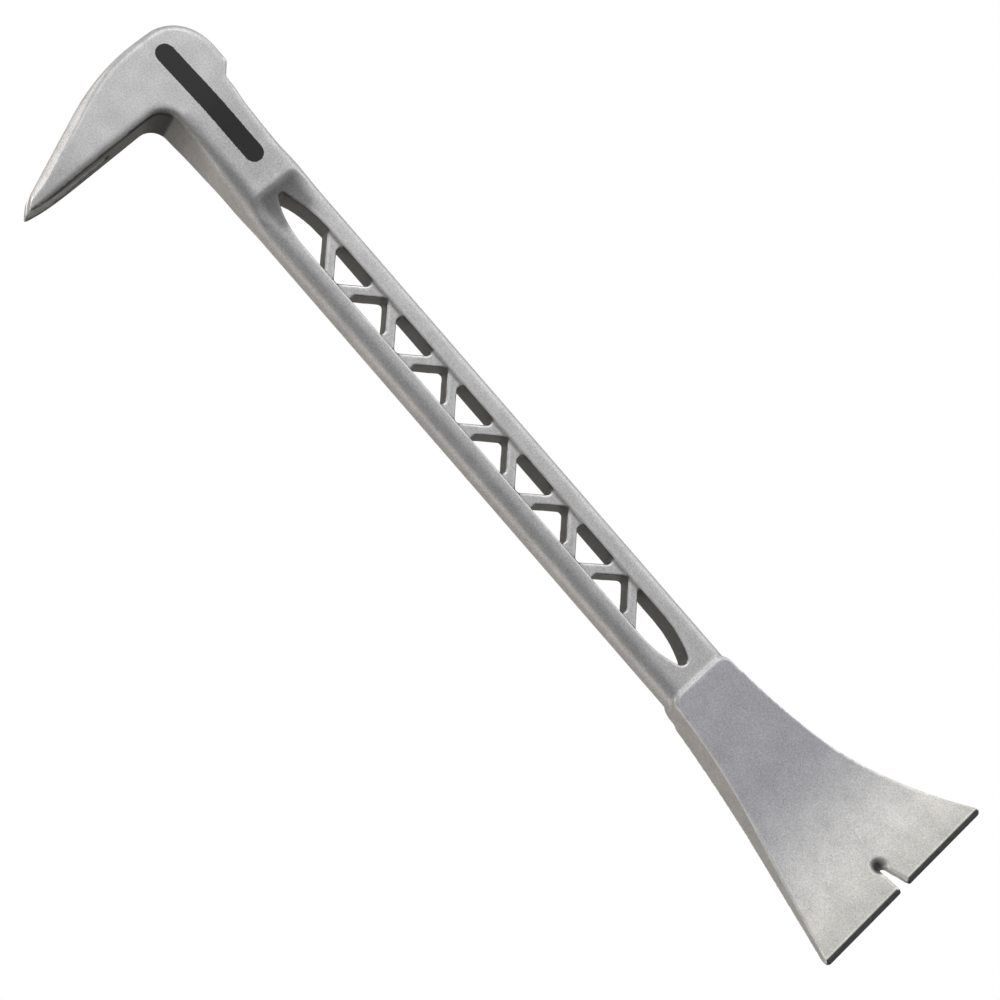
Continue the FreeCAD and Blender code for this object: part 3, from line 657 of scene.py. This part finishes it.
# Painted light and shade: deeper and bluer at the flat root, lighter and warmer along the curl.
painted_curl_light = mix_colour(tree, spread(tree, blade_x, CURL_START, CURL_END), FACE_ROOT_PAINTED_SHADE, FACE_TIP_PAINTED_LIGHT)
curl_lit_colour = mix_colour(tree, 1.0, worn_and_shaded.outputs["Color"], painted_curl_light, blend="MULTIPLY")
lifted = mix_colour(tree, 1.0, curl_lit_colour, FACE_LIFT, blend="MULTIPLY")
faced = mix_colour(tree, on_face, worn_and_shaded.outputs["Color"], lifted)
print("curl from", round(CURL_START / MM, 1), "to", round(CURL_END / MM, 1))

# %% The blade's end face and dimple
END_DARK, END_LIGHT = (0.09, 0.09, 0.092, 1), (0.19, 0.19, 0.19, 1)
END_FACING = (0.06, 0.22)
END_START, END_FULL = frame_high.x - 3.2 * MM, frame_high.x - 2.4 * MM
SCRATCH_STRETCH = (1.0, 0.08, 1.0)
SCRATCH_SCALE = 5200.0
DIMPLE_PLACE = (frame_high.x - 8.8 * MM, (low("blade_edge_left").y + high("blade_edge_right").y) / 2, 0)
DIMPLE_EDGE, DIMPLE_FULL = 2.5 * MM, 0.9 * MM
DIMPLE_SHADE_STRENGTH = 0.9
DIMPLE_PAINTED_SHADE = (0.05, 0.05, 0.05, 1)

end_face = maths(tree, "MULTIPLY", spread(tree, facing.outputs["X"], *END_FACING),
                 spread(tree, blade_x, END_START, END_FULL))
stretched = add(tree, "ShaderNodeMapping", {"Vector": spot, "Scale": SCRATCH_STRETCH}).outputs["Vector"]
scratch = add(tree, "ShaderNodeTexNoise", {"Vector": stretched, "Scale": SCRATCH_SCALE, "Detail": 2.0}).outputs["Fac"]
ground = mix_colour(tree, spread(tree, scratch, 0.35, 0.65), END_DARK, END_LIGHT)
ended = mix_colour(tree, end_face, faced, ground)
# Painted shade: a dark disc in the countersunk dimple at the root of the nail slot.
aside = vector(tree, "MULTIPLY", vector(tree, "SUBTRACT", spot, DIMPLE_PLACE), (1, 1, 0))
from_dimple = vector(tree, "LENGTH", aside, result="Value")
dimple_shade = spread(tree, from_dimple, DIMPLE_EDGE, DIMPLE_FULL, 0.0, DIMPLE_SHADE_STRENGTH)
tree.links.new(mix_colour(tree, dimple_shade, ended, DIMPLE_PAINTED_SHADE), metal.inputs["Base Color"])
print("dimple at", [round(v / MM, 1) for v in DIMPLE_PLACE])

# %% Give each skin its metal
special = dict.fromkeys(("head_block", "neck"), marked_titanium)
special.update(dict.fromkeys(("blade_root", "blade_body", "blade_edge_left", "blade_edge_right"), blade_titanium))
for name, piece in skins.items():
    piece.data.materials.clear()
    piece.data.materials.append(special.get(name, plain_titanium))
print("special skins", sorted(special))


# %% [markdown]
# ## Light and floor
#
# A satin metal shows nothing of its own, only a blurred picture of the room. So the room is what gives the bar
# its greys. A large soft lamp hangs above the claw, on the side of the striking pad. Two weaker ones stand
# low beside the bar, a plain one at its back and a warm one at its belly, and a fourth lights the outside of
# the claw. Around them is a soft room, darker towards the blade. The floor is plain white, some way under the
# bar, and throws a warm light up at it.

# %% Floor
FLOOR_DROP = 0.12
FLOOR_SIZE = 14
FLOOR_COLOUR = (0.84, 0.805, 0.755, 1)
WHITE = (1, 1, 1, 1)

bpy.ops.mesh.primitive_plane_add(size=FLOOR_SIZE, location=(0, 0, -FLOOR_DROP))
floor = bpy.context.object
floor.name = floor.data.name = "floor"
paper = bpy.data.materials.new("White paper")
paper.use_nodes = True
tree = paper.node_tree
tree.nodes.clear()
seen = add(tree, "ShaderNodeLightPath").outputs["Is Camera Ray"]
matt = add(tree, "ShaderNodeBsdfDiffuse", {"Color": FLOOR_COLOUR})
bright = add(tree, "ShaderNodeEmission", {"Color": WHITE, "Strength": 1.0})
either = add(tree, "ShaderNodeMixShader", {0: seen, 1: matt.outputs[0], 2: bright.outputs[0]})
output = add(tree, "ShaderNodeOutputMaterial")
tree.links.new(either.outputs[0], output.inputs["Surface"])
floor.data.materials.append(paper)
print("floor", FLOOR_DROP, "m down")


# %% Lamps
def lamp(name, stand, target, size, power, colour=(1, 1, 1)):
    bpy.ops.object.light_add(type="AREA", location=stand)
    light = bpy.context.object
    light.name = name
    light.rotation_mode = "QUATERNION"
    light.rotation_quaternion = (Vector(stand) - Vector(target)).to_track_quat("Z", "Y")
    light.data.shape = "DISK"
    light.data.size = size
    light.data.energy = power
    light.data.color = colour
    print("lamp", name, power, "W")


lamp("key_lamp", (-1.08, 1.20, 1.75), (0, 0, 0), 1.00, 5.5)
lamp("back_lamp", (0.00, 1.10, -0.05), (0, 0, 0), 1.00, 2.0)
lamp("belly_lamp", (0.10, -1.00, -0.05), (0, 0, 0), 1.20, 2.5, (1.0, 0.95, 0.87))
lamp("claw_lamp", (-1.00, -0.20, 0.02), (-0.10, 0, 0), 0.80, 2.6, (1.0, 0.98, 0.95))

# %% Soft room
ROOM_MIDDLE = 0.62
ROOM_TOWARDS_BACK = 0.30
ROOM_TOWARDS_BLADE = -0.60
ROOM_TOWARDS_CLAW = 0.10
ROOM_DARKEST = 0.02
ROOM_COLOUR = (0.98, 0.99, 1.0, 1)

world = bpy.data.worlds.new("Soft room")
bpy.context.scene.world = world
world.use_nodes = True
tree = world.node_tree
tree.nodes.clear()
side = add(tree, "ShaderNodeSeparateXYZ", {0: add(tree, "ShaderNodeTexCoord").outputs["Generated"]})
by_back = maths(tree, "MULTIPLY", side.outputs["Y"], ROOM_TOWARDS_BACK)
by_blade = maths(tree, "MULTIPLY", maths(tree, "MAXIMUM", side.outputs["X"], 0.0), ROOM_TOWARDS_BLADE)
by_claw = maths(tree, "MULTIPLY", maths(tree, "MINIMUM", side.outputs["X"], 0.0), ROOM_TOWARDS_CLAW)
by_side = maths(tree, "ADD", maths(tree, "ADD", by_back, by_blade), by_claw)
glow = maths(tree, "MAXIMUM", maths(tree, "ADD", by_side, ROOM_MIDDLE), ROOM_DARKEST)
room = add(tree, "ShaderNodeBackground", {"Color": ROOM_COLOUR, "Strength": glow})
white = add(tree, "ShaderNodeBackground", {"Color": WHITE, "Strength": 1.0})
seen = add(tree, "ShaderNodeLightPath").outputs["Is Camera Ray"]
either = add(tree, "ShaderNodeMixShader", {0: seen, 1: room.outputs[0], 2: white.outputs[0]})
output = add(tree, "ShaderNodeOutputWorld")
tree.links.new(either.outputs[0], output.inputs["Surface"])
bpy.context.scene.view_settings.view_transform = "Standard"
print("room", world.name)
